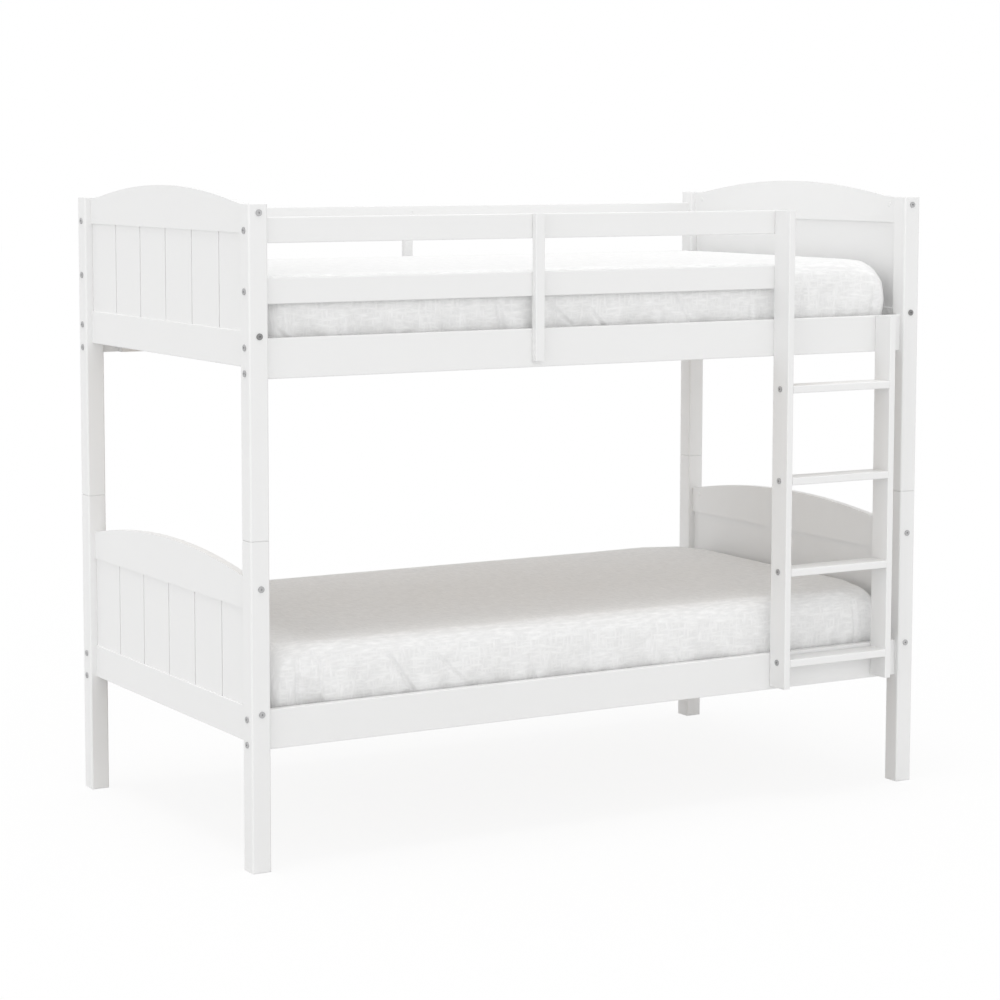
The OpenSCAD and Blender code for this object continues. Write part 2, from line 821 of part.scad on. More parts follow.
post_lower_front_left();
post_lower_front_right();
post_lower_back_left();
post_lower_back_right();
arch_rail_lower_left();
arch_rail_lower_right();
panel_lower_left();
panel_lower_right();
end_rail_lower_left();
end_rail_lower_right();
side_rail_lower_front();
side_rail_lower_back();
slat_ledge_lower_front();
slat_ledge_lower_back();
slats_lower();
seam_pins();
end_bolts_lower();
side_bolts_lower();
barrel_nuts_lower();
dowels_lower();
slat_screws_lower();
mattress_lower();
post_upper_front_left();
post_upper_front_right();
post_upper_back_left();
post_upper_back_right();
arch_rail_upper_left();
arch_rail_upper_right();
panel_upper_left();
panel_upper_right();
end_rail_upper_left();
end_rail_upper_right();
side_rail_upper_front();
side_rail_upper_back();
slat_ledge_upper_front();
slat_ledge_upper_back();
slats_upper();
end_bolts_upper();
side_bolts_upper();
barrel_nuts_upper();
dowels_upper();
slat_screws_upper();
mattress_upper();
guard_front_top();
guard_front_middle();
guard_back_top();
guard_back_middle();
batten_front();
batten_back();
batten_screws();
guard_bolts();
ladder_stile_left();
ladder_stile_right();
rung_1();
rung_2();
rung_3();
rung_4();
ladder_bolts();
ladder_screws();
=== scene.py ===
# %% [markdown]
# # A white bunk bed with a ladder
# The CAD model already holds every board, bolt and slat at its real size. This script
# gives each of them its finish, builds the two mattresses as soft goods, and then sets
# up the floor, the light and the camera. Everything is in metres: X runs along the bed,
# the ladder side faces -Y, and +Z is up.

# %% Load the bed's frame
import math
import random

import bmesh
import bpy
import numpy as np
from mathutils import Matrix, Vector, noise


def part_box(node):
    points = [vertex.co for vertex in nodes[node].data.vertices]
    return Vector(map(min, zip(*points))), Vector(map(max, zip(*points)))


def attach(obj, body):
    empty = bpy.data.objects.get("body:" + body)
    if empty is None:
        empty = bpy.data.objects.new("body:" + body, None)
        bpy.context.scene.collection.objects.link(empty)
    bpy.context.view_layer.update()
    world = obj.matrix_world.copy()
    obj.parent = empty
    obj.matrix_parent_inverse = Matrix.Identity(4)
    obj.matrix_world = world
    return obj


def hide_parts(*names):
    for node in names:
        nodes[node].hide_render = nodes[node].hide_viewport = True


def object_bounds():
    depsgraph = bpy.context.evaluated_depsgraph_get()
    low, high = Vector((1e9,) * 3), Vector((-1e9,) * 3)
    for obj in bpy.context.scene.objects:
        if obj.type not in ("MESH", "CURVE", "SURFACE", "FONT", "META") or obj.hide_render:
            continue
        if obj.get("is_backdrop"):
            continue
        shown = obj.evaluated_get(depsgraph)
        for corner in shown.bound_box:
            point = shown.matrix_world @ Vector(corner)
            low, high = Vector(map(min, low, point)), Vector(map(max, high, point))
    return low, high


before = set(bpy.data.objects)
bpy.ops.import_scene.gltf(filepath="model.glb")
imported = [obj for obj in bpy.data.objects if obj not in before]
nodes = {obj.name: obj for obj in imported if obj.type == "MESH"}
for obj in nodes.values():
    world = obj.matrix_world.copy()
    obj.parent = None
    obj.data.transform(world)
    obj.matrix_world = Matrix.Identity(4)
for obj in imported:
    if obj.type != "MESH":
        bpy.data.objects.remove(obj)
cad_low, cad_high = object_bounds()
print("CAD parts:", len(nodes), "box:", [round(v, 3) for v in cad_high - cad_low])

# %% [markdown]
# ## Shader maths as ordinary sums
# Blender's materials are graphs of small nodes, and a sum such as 0.3 + 0.1 * noise
# takes one node for each operator. The class below wraps one output socket, so that
# Python's own operators add those nodes. `node` adds any other kind.

# %% A socket that does sums


class Shade:
    """One output socket of a material's node tree."""

    def __init__(self, tree, socket=None):
        self.tree = tree
        self.socket = socket

    def node(self, kind, settings=None, sockets=None, out=0):
        """Add a node: its settings first, then the values or links of its sockets."""
        made = self.tree.nodes.new(kind)
        for name, value in (settings or {}).items():
            if name == "stops":
                for stop, (position, colour) in zip(made.color_ramp.elements, value):
                    stop.position = position
                    stop.color = (*colour, 1.0)
            else:
                setattr(made, name, value)
        for name, value in (sockets or {}).items():
            if isinstance(value, Shade):
                self.tree.links.new(value.socket, made.inputs[name])
            else:
                made.inputs[name].default_value = value
        return Shade(self.tree, made.outputs[out])

    def maths(self, operation, *values):
        return self.node("ShaderNodeMath", {"operation": operation}, dict(enumerate(values)))

    def __add__(self, other):
        return self.maths("ADD", self, other)

    def __sub__(self, other):
        return self.maths("SUBTRACT", self, other)

    def __rsub__(self, other):
        return self.maths("SUBTRACT", other, self)

    def __mul__(self, other):
        return self.maths("MULTIPLY", self, other)

    __radd__ = __add__
    __rmul__ = __mul__


print("Shade ready: +, - and * add Math nodes")

# %% [markdown]
# A finish starts from an empty tree with one Principled shader. Its own sockets take the
# constants, and the few that change over a surface get a link. Noise is read in each
# part's own space, in metres, so the pattern stays put when the part moves.

# %% Helpers that every finish uses


def start_finish(name, constants):
    """A material with one Principled shader: returns it, its shader and a first Shade."""
    material = bpy.data.materials.new(name)
    material.use_nodes = True
    tree = material.node_tree
    tree.nodes.clear()
    shader = tree.nodes.new("ShaderNodeBsdfPrincipled")
    output = tree.nodes.new("ShaderNodeOutputMaterial")
    tree.links.new(shader.outputs[0], output.inputs["Surface"])
    for socket, value in constants.items():
        shader.inputs[socket].default_value = value
    place = Shade(tree).node("ShaderNodeTexCoord", out="Object")
    return material, shader, place


def feed(shader, socket, value):
    """Link a Shade to one of the Principled shader's sockets."""
    value.tree.links.new(value.socket, shader.inputs[socket])


def stretched(place, scale):
    """The same place, scaled along each axis: a small number draws the pattern out."""
    return place.node(
        "ShaderNodeMapping", {"vector_type": "POINT"}, {"Vector": place, "Scale": scale}
    )


def noise_at(place, scale, detail=2.0):
    """Soft random values about 0.5, with features about 1 / scale metres across."""
    return place.node(
        "ShaderNodeTexNoise", {}, {"Vector": place, "Scale": scale, "Detail": detail}
    )


def as_colour(value):
    return value if isinstance(value, Shade) else (*value, 1.0)


def blend_colours(factor, first, second):
    return factor.node(
        "ShaderNodeMix",
        {"data_type": "RGBA"},
        {0: factor, 6: as_colour(first), 7: as_colour(second)},
        out=2,
    )


def relief(height, depth, strength):
    """A bump whose full height is depth metres."""
    return height.node(
        "ShaderNodeBump", {}, {"Height": height, "Distance": depth, "Strength": strength}
    )


print("Finish helpers ready")

# %% [markdown]
# ## White satin paint
# The frame is wood under a sprayed satin enamel. Close up, such paint shows a fine
# orange peel, and a trace of the grain below it, drawn out along each board. So one
# function makes the paint three times, once for each way that a board can run.

# %% Paint, one for each direction of the grain
PAINT_WHITE = (0.842, 0.842, 0.840)
PAINT_THIN = (0.824, 0.824, 0.820)
GRAIN_DRAWN_OUT = 0.04
GRAIN_SCALE = 260.0
PEEL_SCALE = 520.0
COAT_SCALE = 5.0


def satin_paint(name, along):
    material, shader, place = start_finish(
        name,
        {"Specular IOR Level": 0.42, "Coat Weight": 0.12, "Coat Roughness": 0.22},
    )
    stretch = [1.0, 1.0, 1.0]
    stretch[along] = GRAIN_DRAWN_OUT
    grain = noise_at(stretched(place, stretch), GRAIN_SCALE, 3.0)
    peel = noise_at(place, PEEL_SCALE, 1.0)
    coat = noise_at(place, COAT_SCALE, 2.0)
    feed(shader, "Base Color", blend_colours(coat, PAINT_THIN, PAINT_WHITE))
    feed(shader, "Roughness", 0.32 + 0.12 * coat + 0.05 * grain)
    feed(shader, "Normal", relief(grain * 0.6 + peel * 0.4, 0.00025, 0.35))
    return material


paint_along = [satin_paint(f"satin_paint_{'xyz'[axis]}", axis) for axis in range(3)]
print("Paints:", [material.name for material in paint_along])

# %% [markdown]
# ## Bare pine
# The slats and dowels are plain pine. Its growth rings show as long, wandering bands,
# which a wave texture gives once noise has bent it. Short dark pores lie along the
# grain. The slats run across the bed, so the pattern is drawn out along Y.

# %% Pine for the slats and dowels
PINE_EARLY = (0.66, 0.52, 0.36)
PINE_LATE = (0.49, 0.35, 0.21)
RING_SCALE = 22.0
DRIFT_SCALE = 9.0
PORE_SCALE = 900.0


def bare_pine(name):
    material, shader, place = start_finish(name, {"Specular IOR Level": 0.35})
    long_grain = stretched(place, [1.0, 0.06, 1.0])
    drift = noise_at(long_grain, DRIFT_SCALE, 3.0)
    bands = long_grain.node(
        "ShaderNodeTexWave",
        {"wave_type": "BANDS", "bands_direction": "X", "wave_profile": "SAW"},
        {
            "Vector": long_grain,
            "Scale": RING_SCALE,
            "Distortion": 7.0,
            "Detail": 2.0,
            "Detail Scale": 1.6,
        },
    )
    pores = noise_at(long_grain, PORE_SCALE, 2.0)
    ring = bands * 0.55 + drift * 0.3 + pores * 0.15
    feed(shader, "Base Color", blend_colours(ring, PINE_EARLY, PINE_LATE))
    feed(shader, "Roughness", 0.5 + 0.18 * drift)
    feed(shader, "Normal", relief(pores * 0.7 + bands * 0.3, 0.0003, 0.5))
    return material


pine = bare_pine("bare_pine")
print("Made", pine.name)

# %% [markdown]
# ## Dark fixings
# The bolt heads are flat steel with a hexagon socket, under a dull grey plating. The
# finish is a metal with a middling roughness that wanders a little, as a part that was
# tumbled before plating has. The lower row of the upper ends is blackened instead.

# %% Dull plated steel
STEEL_DARK = (0.42, 0.42, 0.425)
STEEL_LIGHT = (0.56, 0.56, 0.565)
STEEL_BLACK = (0.28, 0.28, 0.28)
TUMBLED_SCALE = 700.0
PATCH_SCALE = 60.0


def plated_steel(name, blackened_below=0.0):
    """Grey plating; heads lower than the given height are blackened instead."""
    material, shader, place = start_finish(name, {"Metallic": 1.0})
    tumbled = noise_at(place, TUMBLED_SCALE, 3.0)
    patch = noise_at(place, PATCH_SCALE, 2.0)
    height = place.node("ShaderNodeSeparateXYZ", {}, {0: place}, out=2)
    grey = blend_colours(patch, STEEL_DARK, STEEL_LIGHT)
    black = place.maths("LESS_THAN", height, blackened_below)
    feed(shader, "Base Color", blend_colours(black, grey, STEEL_BLACK))
    feed(shader, "Roughness", 0.34 + 0.2 * tumbled)
    feed(shader, "Normal", relief(tumbled, 0.0001, 0.3))
    return material


steel = plated_steel("plated_steel")
bolts_low, bolts_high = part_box("end_bolts_upper")
between_rows = (bolts_low.z + bolts_high.z) / 2
steel_mixed = plated_steel("plated_steel_mixed", blackened_below=between_rows)
print("Made", steel.name, "and", steel_mixed.name, "with black below", round(between_rows, 3))

# %% [markdown]
# The nuts and screws on the inside are dipped in the same white as the boards. Such an
# enamel is glossier than the sprayed paint, and pools a little in its hollows.

# %% White enamel
DIP_SCALE = 300.0


def white_enamel(name):
    material, shader, place = start_finish(name, {"Specular IOR Level": 0.5, "Coat Weight": 0.3})
    dip = noise_at(place, DIP_SCALE, 2.0)
    feed(shader, "Base Color", blend_colours(dip, PAINT_THIN, PAINT_WHITE))
    feed(shader, "Roughness", 0.3 + 0.1 * dip)
    feed(shader, "Normal", relief(dip, 0.0001, 0.3))
    return material


enamel = white_enamel("white_enamel")
print("Made", enamel.name)

# %% [markdown]
# ## Slub weave
# The mattress covers are a white cotton and linen weave. Its yarn swells and thins, and
# these slubs show as short, bright dashes along both threads. Each thread direction is a
# noise drawn out along one axis. A face shows only the two threads that lie in it, so
# each axis fades out where the surface turns square to it. The upright thread is the
# finer one, so its slubs are a little weaker.

# %% Woven cover
COVER_LIGHT = (0.908, 0.908, 0.905)
COVER_SHADE = (0.802, 0.802, 0.800)
UPRIGHT_THREAD = 0.94
SLUB_SCALE = 150.0
SLUB_DRAWN_OUT = 0.22
THREAD_SCALE = 900.0
THREAD_DRAWN_OUT = 0.05


def slub_weave(name):
    material, shader, place = start_finish(
        name, {"Specular IOR Level": 0.2, "Sheen Weight": 0.2, "Sheen Roughness": 0.5}
    )
    facing = place.node("ShaderNodeTexCoord", out="Normal")
    slubs = threads = None
    for axis in range(3):
        turned = place.node("ShaderNodeSeparateXYZ", {}, {0: facing}, out=axis)
        lies_flat = 1.0 - turned * turned
        long_slub, fine_thread = [1.0, 1.0, 1.0], [1.0, 1.0, 1.0]
        long_slub[axis] = SLUB_DRAWN_OUT
        fine_thread[axis] = THREAD_DRAWN_OUT
        strength = UPRIGHT_THREAD if axis == 2 else 1.0
        slub = noise_at(stretched(place, long_slub), SLUB_SCALE, 2.0) * lies_flat * strength
        thread = noise_at(stretched(place, fine_thread), THREAD_SCALE, 1.0) * lies_flat
        slubs = slub if slubs is None else slubs.maths("MAXIMUM", slubs, slub)
        threads = thread if threads is None else threads.maths("MAXIMUM", threads, thread)
    yarn = slubs.node(
        "ShaderNodeMapRange",
        {},
        {"Value": slubs, "From Min": 0.40, "From Max": 0.74},
    )
    feed(shader, "Base Color", blend_colours(yarn, COVER_SHADE, COVER_LIGHT))
    feed(shader, "Roughness", 0.78 + 0.14 * yarn)
    feed(shader, "Normal", relief(yarn * 0.7 + threads * 0.6, 0.0009, 0.6))
    return material


cover = slub_weave("slub_weave")
print("Made", cover.name)

# %% [markdown]
# ## Finishes on the CAD parts
# A part's name says what it is made of and which way its grain runs. Posts and ladder
# stiles stand up, end rails and arches cross the bed, and all the rest run along it. The
# nuts and screws that show inside the bed are enamelled white, to be lost in the paint.

# %% Give every CAD part its finish
ENAMEL_WORDS = ("barrel_nuts", "batten_screws", "ladder_screws")
METAL_WORDS = ("bolts", "screws", "pins")
PINE_WORDS = ("slats", "dowels")
ACROSS_WORDS = ("arch_rail", "end_rail")
UPRIGHT_WORDS = ("post", "stile", "batten_front", "batten_back", "panel")


def finish_for(part):
    if any(word in part for word in ENAMEL_WORDS):
        return enamel
    if part == "end_bolts_upper":
        return steel_mixed
    if any(word in part for word in METAL_WORDS):
        return steel
    if part.startswith(PINE_WORDS):
        return pine
    if part.startswith(ACROSS_WORDS):
        return paint_along[1]
    if any(word in part for word in UPRIGHT_WORDS):
        return paint_along[2]
    return paint_along[0]


for part, thing in nodes.items():
    for material_slot in thing.material_slots:
        material_slot.material = finish_for(part)
print("Finished parts:", len(nodes))

# %% [markdown]
# ## Soft edges on the sawn parts
# Sandpaper and paint leave no edge sharp. Most boards have round edges in the CAD
# model. The sawn shapes, such as the arches and the ends of the stiles, get theirs
# here: Decimate first joins each flat face's triangles, so that Bevel meets clean edges.

# %% Ease the edges of arches, stiles and battens


def ease_edges(thing, width, segments=2, angle=40.0):
    join = thing.modifiers.new("join_flats", "DECIMATE")
    join.decimate_type = "DISSOLVE"
    join.angle_limit = math.radians(0.2)
    bevel = thing.modifiers.new("ease", "BEVEL")
    bevel.width = width
    bevel.segments = segments
    bevel.limit_method = "ANGLE"
    bevel.angle_limit = math.radians(angle)
    bevel.use_clamp_overlap = False
    bevel.harden_normals = True


EASED = {"arch_rail": 0.0022, "ladder_stile": 0.0015, "batten_front": 0.0012, "batten_back": 0.0012}
eased = []
for part, thing in nodes.items():
    for word, width in EASED.items():
        if part.startswith(word):
            ease_edges(thing, width)
            eased.append(part)
print("Eased:", len(eased), "parts")

# %% [markdown]
# ## Cover caps
# Each barrel nut lies in a blind hole in the inner face of a board. A small white cap,
# slightly domed, is pressed over each hole, so the inner faces look plain. A nut's own
# shape says where its cap goes: its longest side points along the hole, and the hole
# opens towards the middle of the bed, or downwards in a rung.

# %% The middle and size of each nut


def loose_parts(mesh):
    """The middle and the size of each separate solid in a mesh."""
    form = bmesh.new()
    form.from_mesh(mesh)
    bmesh.ops.remove_doubles(form, verts=form.verts, dist=0.00001)
    waiting = set(form.verts)
    found = []
    while waiting:
        first = waiting.pop()
        group, to_visit = [first], [first]
        while to_visit:
            point = to_visit.pop()
            for edge in point.link_edges:
                other = edge.other_vert(point)
                if other in waiting:
                    waiting.remove(other)
                    group.append(other)
                    to_visit.append(other)
        spots = np.array([vertex.co[:] for vertex in group])
        low, high = spots.min(axis=0), spots.max(axis=0)
        found.append(((low + high) / 2, high - low))
    form.free()
    return sorted(found, key=lambda part: tuple(np.round(part[0], 4)))


nuts = {part: loose_parts(nodes[part].data) for part in ("barrel_nuts_lower", "barrel_nuts_upper")}
print("Nuts found:", {part: len(found) for part, found in nuts.items()})

# %% One cap, as rings from its rim to its top
CAP_RADIUS = 0.0065
CAP_RISE = 0.0009
CAP_SIDES = 32
# Each ring's share of the radius and of the rise; the first lies just inside the board.
CAP_RINGS = ((1.0, -0.2), (0.97, 0.45), (0.72, 0.85), (0.35, 1.0))


def add_cap(form, spot, axis, sign, face):
    """A thin dome on the board's face, built of rings and closed at the top and bottom."""
    others = [i for i in range(3) if i != axis]
    rings = []
    for radius, rise in CAP_RINGS:
        ring = []
        for turn in range(CAP_SIDES):
            angle = 2 * math.pi * turn / CAP_SIDES
            place = [0.0, 0.0, 0.0]
            place[axis] = face + sign * rise * CAP_RISE
            place[others[0]] = spot[others[0]] + radius * CAP_RADIUS * math.cos(angle)
            place[others[1]] = spot[others[1]] + radius * CAP_RADIUS * math.sin(angle)
            ring.append(form.verts.new(place))
        rings.append(ring)
    for outer, inner in zip(rings, rings[1:]):
        for turn in range(CAP_SIDES):
            after = (turn + 1) % CAP_SIDES
            form.faces.new((outer[turn], outer[after], inner[after], inner[turn]))
    form.faces.new(rings[-1])
    form.faces.new(rings[0][::-1])


print("Cap:", 2000 * CAP_RADIUS, "mm across,", 1000 * CAP_RISE, "mm proud")

# %% Cap the holes of both bunks
BOARD_WORDS = ("arch_rail", "end_rail", "side_rail", "guard_front", "guard_back", "rung")
boards = [np.array(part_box(part)) for part in nodes if part.startswith(BOARD_WORDS)]


def board_round(spot):
    """The box of the board that a nut lies in."""
    for low, high in boards:
        if np.all(spot > low) and np.all(spot < high):
            return low, high
    return None


def cap_nuts(part, body):
    middle = (np.array(cad_low) + np.array(cad_high)) / 2
    form = bmesh.new()
    count = 0
    for spot, size in nuts[part]:
        board = board_round(spot)
        if board is None:
            continue
        axis = int(np.argmax(size))
        sign = -1 if axis == 2 else int(np.sign(middle[axis] - spot[axis]))
        face = board[1][axis] if sign > 0 else board[0][axis]
        add_cap(form, spot, axis, sign, face)
        count += 1
    bmesh.ops.recalc_face_normals(form, faces=form.faces)
    mesh = bpy.data.meshes.new("nut_caps")
    form.to_mesh(mesh)
    form.free()
    for polygon in mesh.polygons:
        polygon.use_smooth = len(polygon.vertices) == 4
    mesh.materials.append(enamel)
    piece = bpy.data.objects.new(part.replace("barrel_nuts", "nut_caps"), mesh)
    bpy.context.scene.collection.objects.link(piece)
    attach(piece, body)
    print(piece.name, count, "caps")


cap_nuts("barrel_nuts_lower", "lower_bunk")
cap_nuts("barrel_nuts_upper", "upper_bunk")

# %% [markdown]
# ## Mattresses
# A mattress is a foam and spring core in a stitched cover. The cover is cut a little too
# large where it is tucked in, so it gathers into pleats along the foot and at the
# corners. Blender's cloth gives that shape. The skin is the CAD mattress, rebuilt from
# small even squares.

# %% A skin of even squares
SQUARE = 0.012
DRAW_IN = 0.003


def evaluated_mesh(thing):
    bpy.context.view_layer.update()
    graph = bpy.context.evaluated_depsgraph_get()
    return bpy.data.meshes.new_from_object(thing.evaluated_get(graph))


def points_of(mesh, field="co"):
    flat = np.empty(len(mesh.vertices) * 3, np.float32)
    mesh.vertices.foreach_get(field, flat)
    return flat.reshape(-1, 3).astype(float)


def set_points(mesh, points):
    mesh.vertices.foreach_set("co", points.astype(np.float32).ravel())
    mesh.update()


def mattress_skin(cad_name):
    """The CAD mattress, drawn in slightly and remeshed, as a new object."""
    low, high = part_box(cad_name)
    mesh = nodes[cad_name].data.copy()
    mesh.materials.clear()
    points = points_of(mesh)
    centre = np.array((low + high) / 2)
    half = np.array((high - low) / 2)
    points[:, :2] = centre[:2] + (points[:, :2] - centre[:2]) * (1 - DRAW_IN / half[:2])
    set_points(mesh, points)
    skin = bpy.data.objects.new("mattress_skin", mesh)
    bpy.context.scene.collection.objects.link(skin)
    remesh = skin.modifiers.new("squares", "REMESH")
    remesh.mode = "VOXEL"
    remesh.voxel_size = SQUARE
    skin.data = evaluated_mesh(skin)
    skin.modifiers.clear()
    return skin


skin = mattress_skin("mattress_lower")
print("Skin:", len(skin.data.vertices), "points")

# %% [markdown]
# Every point of the skin is tied to its place by a weak spring, which stands for the
# foam. The underside is held still, because the slats carry it. The fabric is then made
# larger than its form, by little on the top and by more round the foot and at the
# corners, and a slight air pressure makes it buckle outwards. Twenty frames settle it.
# Blender keeps the larger shrink for full weights, so the group marks the taut cloth.

# %% Where the cover is loose
# From loose to taut, in metres: up from the slats, in from a corner, up a corner.
FOOT_LOOSE = (0.03, 0.14)
CORNER_LOOSE = (0.02, 0.20)
CORNER_HEIGHT = (0.10, 0.19)
CORNER_SHARE = 0.8
GATHER_SCALE = 7.0


def ramp(values, start, end):
    """0 at start, 1 at end, straight between them."""
    return np.clip((values - start) / (end - start), 0.0, 1.0)


def wander(x, y, z, scale, shift):
    """Smooth noise of about -1 to 1, with features about 1 / scale metres across."""
    return np.array(
        [noise.noise(Vector((a * scale, b * scale, c * scale)) + shift) for a, b, c in zip(x, y, z)]
    )


def gathered_share(points):
    """How much of the spare cloth each point gets: most at the foot and the corners."""
    low, high = points.min(axis=0), points.max(axis=0)
    x, y, up = points[:, 0], points[:, 1], points[:, 2] - low[2]
    from_end = np.minimum(x - low[0], high[0] - x)
    from_side = np.minimum(y - low[1], high[1] - y)
    foot = 1.0 - ramp(up, *FOOT_LOOSE)
    corner = (1.0 - ramp(from_end, *CORNER_LOOSE)) * (1.0 - ramp(from_side, *CORNER_LOOSE))
    share = np.maximum(foot, CORNER_SHARE * corner * (1.0 - ramp(up, *CORNER_HEIGHT)))
    uneven = 0.5 + 0.9 * wander(x, y, 0 * x, GATHER_SCALE, Vector((3.0, 8.0, 1.0)))
    return share * np.clip(uneven, 0.0, 1.0)


loose = gathered_share(points_of(skin.data))
print("Points with loose cloth:", int((loose > 0.05).sum()), "of", len(loose))

# %% Gather the cover over its core
FOAM_TIE = 0.03
UNDERSIDE = 0.012
SPARE_TAUT = 0.0
SPARE_GATHERED = 0.035
PUFF_LIMIT = 0.0075
SETTLING_FRAMES = 20


def weigh(thing, name, weights):
    """A vertex group with one weight for each point, in steps of a hundredth."""
    group = thing.vertex_groups.new(name=name)
    steps = np.round(weights * 100).astype(int)
    for step in np.unique(steps):
        group.add([int(i) for i in np.nonzero(steps == step)[0]], step / 100, "REPLACE")
    return group


def lay_cloth(skin, before):
    """Make the skin a cloth, tied to its core, with spare fabric where it is loose."""
    up = before[:, 2] - before[:, 2].min()
    weigh(skin, "foam", np.where(up < UNDERSIDE, 1.0, FOAM_TIE))
    weigh(skin, "taut", 1.0 - loose)
    cloth = skin.modifiers.new("cover", "CLOTH")
    fabric = cloth.settings
    fabric.quality = 5
    fabric.mass = 0.3
    fabric.tension_stiffness = 14.0
    fabric.compression_stiffness = 14.0
    fabric.shear_stiffness = 5.0
    fabric.bending_stiffness = 1.2
    fabric.use_pressure = True
    fabric.uniform_pressure_force = 0.1
    fabric.vertex_group_shrink = "taut"
    fabric.shrink_min = -SPARE_GATHERED
    fabric.shrink_max = -SPARE_TAUT
    fabric.vertex_group_mass = "foam"
    fabric.pin_stiffness = 1.0
    fabric.effector_weights.gravity = 0.0
    cloth.collision_settings.use_collision = False


def gather_cover(skin):
    """Let the cloth settle and apply it, with every move held under the puff limit."""
    before = points_of(skin.data)
    lay_cloth(skin, before)
    scene = bpy.context.scene
    for step in range(1, SETTLING_FRAMES + 1):
        scene.frame_set(step)
    after = points_of(evaluated_mesh(skin))
    skin.modifiers.clear()
    scene.frame_set(1)
    move = after - before
    length = np.linalg.norm(move, axis=1)
    kept = PUFF_LIMIT * np.tanh(length / PUFF_LIMIT)
    set_points(skin.data, before + move * (kept / np.maximum(length, 1e-9))[:, None])
    return kept


moved = gather_cover(skin)
print("Cover moved by", round(1000 * moved.mean(), 1), "mm on average")
print("and by", round(1000 * moved.max(), 1), "mm at most")

# %% [markdown]
# Sitting and tucking leave a few longer folds, which the small model can't know. Each is
# a line on the unrolled side: a narrow valley with the cloth lying over it in a soft
# ridge. It is given as where it starts and ends round the mattress and how high, then
# its width and its depth, all in metres. The lower mattress shows its front, so the
# folds there are placed one by one. All others are drawn at random from a fixed seed.

# %% Longer folds on the unrolled sides
FRONT_FOLDS = [
    (-0.870, 0.180, -0.873, 0.045, 0.0040, 0.0050),
    (-0.805, 0.170, -0.809, 0.045, 0.0040, 0.0045),
    (-0.625, 0.165, -0.552, 0.070, 0.0045, 0.0055),
    (-0.490, 0.150, -0.410, 0.080, 0.0050, 0.0035),
    (-0.205, 0.110, -0.185, 0.050, 0.0040, 0.0040),
    (-0.024, 0.195, 0.006, 0.125, 0.0055, 0.0025),
    (0.240, 0.120, 0.262, 0.055, 0.0045, 0.0030),
    (0.430, 0.200, 0.520, 0.160, 0.0055, 0.0035),
    (0.840, 0.175, 0.852, 0.050, 0.0045, 0.0045),
]


def around(x, y, half_x, half_y):
    """Distance round the mattress, anticlockwise from the middle of the front."""
    across = np.abs(y / half_y) >= np.abs(x / half_x)
    front_back = np.where(y < 0, x, 2 * half_x + 2 * half_y - x)
    ends = np.where(x > 0, half_x + half_y + y, 3 * half_x + 3 * half_y - y)
    return np.where(across, front_back, ends)


def random_folds(chance, start, end, height):
    folds = []
    place = start + chance.uniform(0.03, 0.12)
    while place < end:
        run = chance.choice((0.0, 0.0, 1.0)) * chance.uniform(0.03, 0.09)
        top = height * chance.uniform(0.45, 0.9)
        foot = height * chance.uniform(0.15, 0.35)
        width = chance.uniform(0.0040, 0.0055)
        folds.append((place, top, place + run, foot, width, chance.uniform(0.002, 0.005)))
        place += chance.uniform(0.09, 0.30)
    return folds


print("Folds placed on the front:", len(FRONT_FOLDS))

# %% How deep the folds lie at each point
VALLEY_REACH = 0.15
WIDTHS_REACH = 8.0
# A fold fades out over these shares of its line, from 0 at its foot to 1 at its top.
FOOT_FADE = (-0.30, 0.10)
TOP_FADE = (0.60, 1.25)
RIDGE_SHARE = 0.35
RIDGE_AWAY = 2.6
RIDGE_WIDTH = 1.7


def fold_depth(along, up, folds, lap):
    """The push along the normal: valleys are negative, with a ridge on one side."""
    total = np.zeros(len(along))
    for start, top, end, foot, width, depth in folds:
        middle = (start + end) / 2
        offset = (along - middle + lap / 2) % lap - lap / 2
        share = (up - foot) / (top - foot)
        line = end + (start - end) * share - middle
        away = (offset - line) / width
        fade = ramp(share, *FOOT_FADE) * (1.0 - ramp(share, *TOP_FADE))
        near = (np.abs(offset) < VALLEY_REACH) & (np.abs(away) < WIDTHS_REACH)
        ridge = RIDGE_SHARE * np.exp(-(((away - RIDGE_AWAY) / RIDGE_WIDTH) ** 2) / 2)
        valley = np.exp(-away * away / 2) - ridge
        total -= np.where(near, depth * fade * valley, 0.0)
    return total


print("Ridge beside each fold:", RIDGE_SHARE, "of its depth")

# %% [markdown]
# The stuffing sets the form: the edges of the top are rounded, the corners more so, as
# on a ball, and the foot is drawn in where the cover is tucked under. The sides then
# need smaller squares than the simulation had, so that the folds show in the mesh.

# %% Round the form
EDGE_ROUND = 0.020
CORNER_ROUND = 0.078
CORNER_REACH = (0.06, 0.22)
ROOM_ROUND = 0.004
FOOT_DRAW = 0.0065
# Heights as shares of the half height: -1 is the underside and 1 the top.
CORNER_RISE = (-0.2, 0.8)
FOOT_RISE = (-0.85, 0.1)


def ease_between(values, start, end):
    """0 at start, 1 at end, along a soft S curve."""
    share = ramp(values, start, end)
    return share * share * (3.0 - 2.0 * share)


